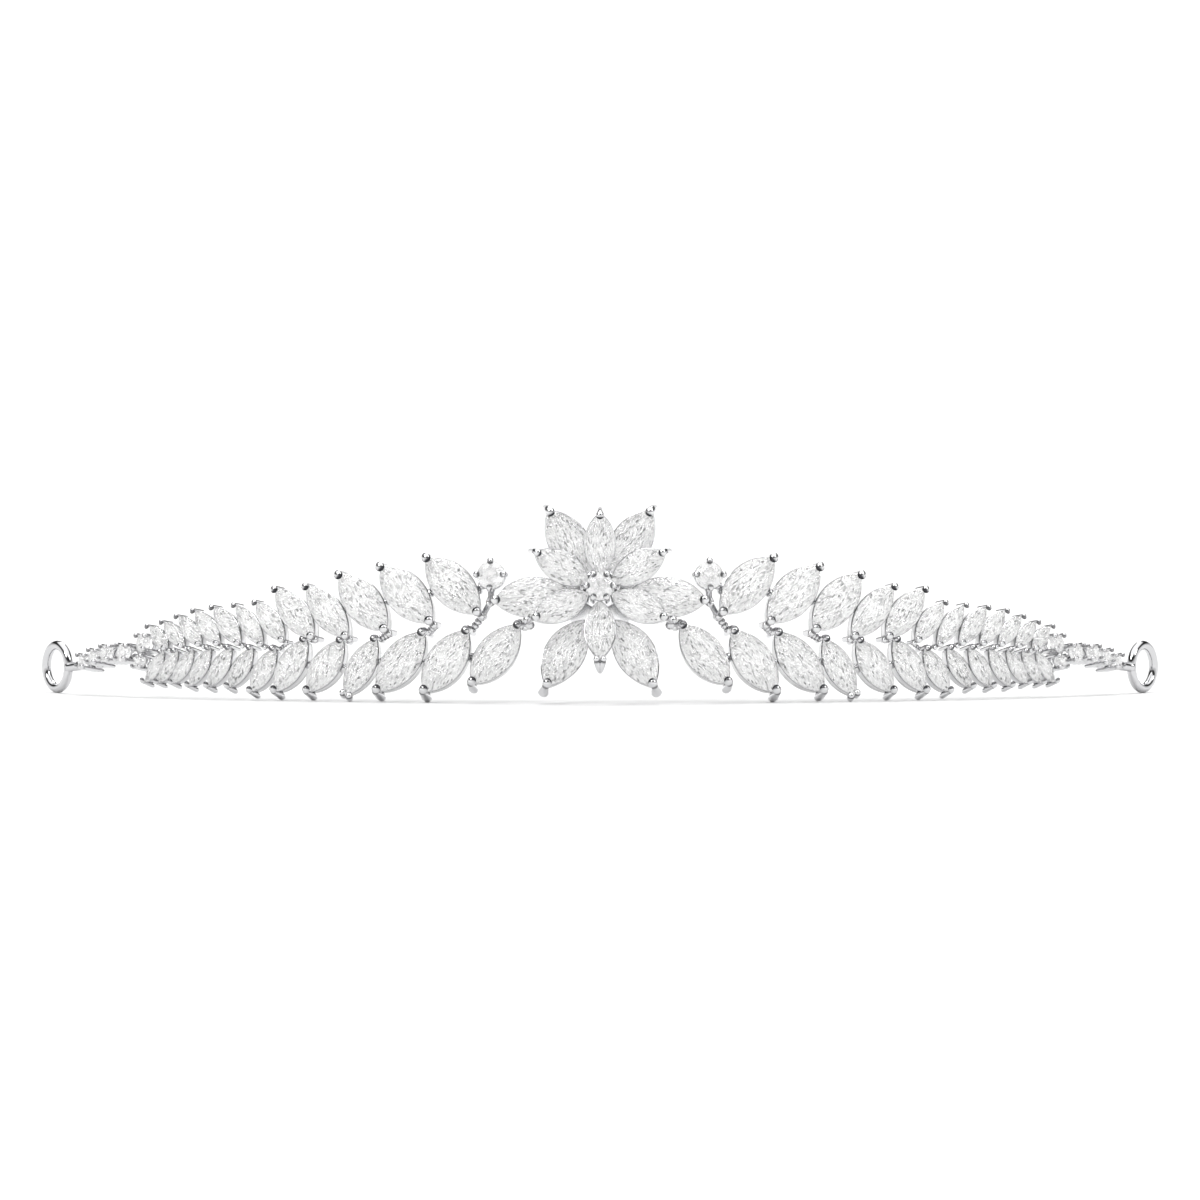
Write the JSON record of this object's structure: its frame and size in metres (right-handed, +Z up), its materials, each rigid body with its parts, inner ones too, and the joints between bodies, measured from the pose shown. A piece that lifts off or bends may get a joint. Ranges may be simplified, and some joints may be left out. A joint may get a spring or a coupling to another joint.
{
  "type": "tiara",
  "caption": "Open-backed tiara of claw-set clear leaf-shaped stones: a flower at the middle, two tapering rows along each side and a wire ring at each end.",
  "frame": {"origin": "middle of the box's underside, on the surface that the tiara stands on", "axes": "+Z up, the front with the flower faces -Y, and +X is on the viewer's right"},
  "size_m": [0.1424, 0.0475, 0.0247],
  "materials": {
    "metal": "polished white metal",
    "stone": "clear faceted stone"
  },
  "bodies": {
    "root": {"frame": "metal", "centre_stone": "stone", "front_petal_1": "stone", "front_petal_2": "stone", "front_petal_3": "stone", "front_petal_4": "stone", "front_petal_5": "stone", "front_petal_6": "stone", "back_petal_1": "stone", "back_petal_2": "stone", "back_petal_3": "stone", "back_petal_4": "stone", "back_petal_5": "stone", "back_petal_6": "stone", "side_stone_left": "stone", "side_stone_right": "stone", "upper_leaf_left_1": "stone", "upper_leaf_left_2": "stone", "upper_leaf_left_3": "stone", "upper_leaf_left_4": "stone", "upper_leaf_left_5": "stone", "upper_leaf_left_6": "stone", "lower_leaf_left_1": "stone", "lower_leaf_left_2": "stone", "lower_leaf_left_3": "stone", "lower_leaf_left_4": "stone", "lower_leaf_left_5": "stone", "lower_leaf_left_6": "stone", "upper_leaf_right_1": "stone", "upper_leaf_right_2": "stone", "upper_leaf_right_3": "stone", "upper_leaf_right_4": "stone", "upper_leaf_right_5": "stone", "upper_leaf_right_6": "stone", "lower_leaf_right_1": "stone", "lower_leaf_right_2": "stone", "lower_leaf_right_3": "stone", "lower_leaf_right_4": "stone", "lower_leaf_right_5": "stone", "lower_leaf_right_6": "stone", "small_leaves_left": "stone", "small_leaves_right": "stone", "end_rounds_left": "stone", "end_rounds_right": "stone"}
  },
  "joints": []
}
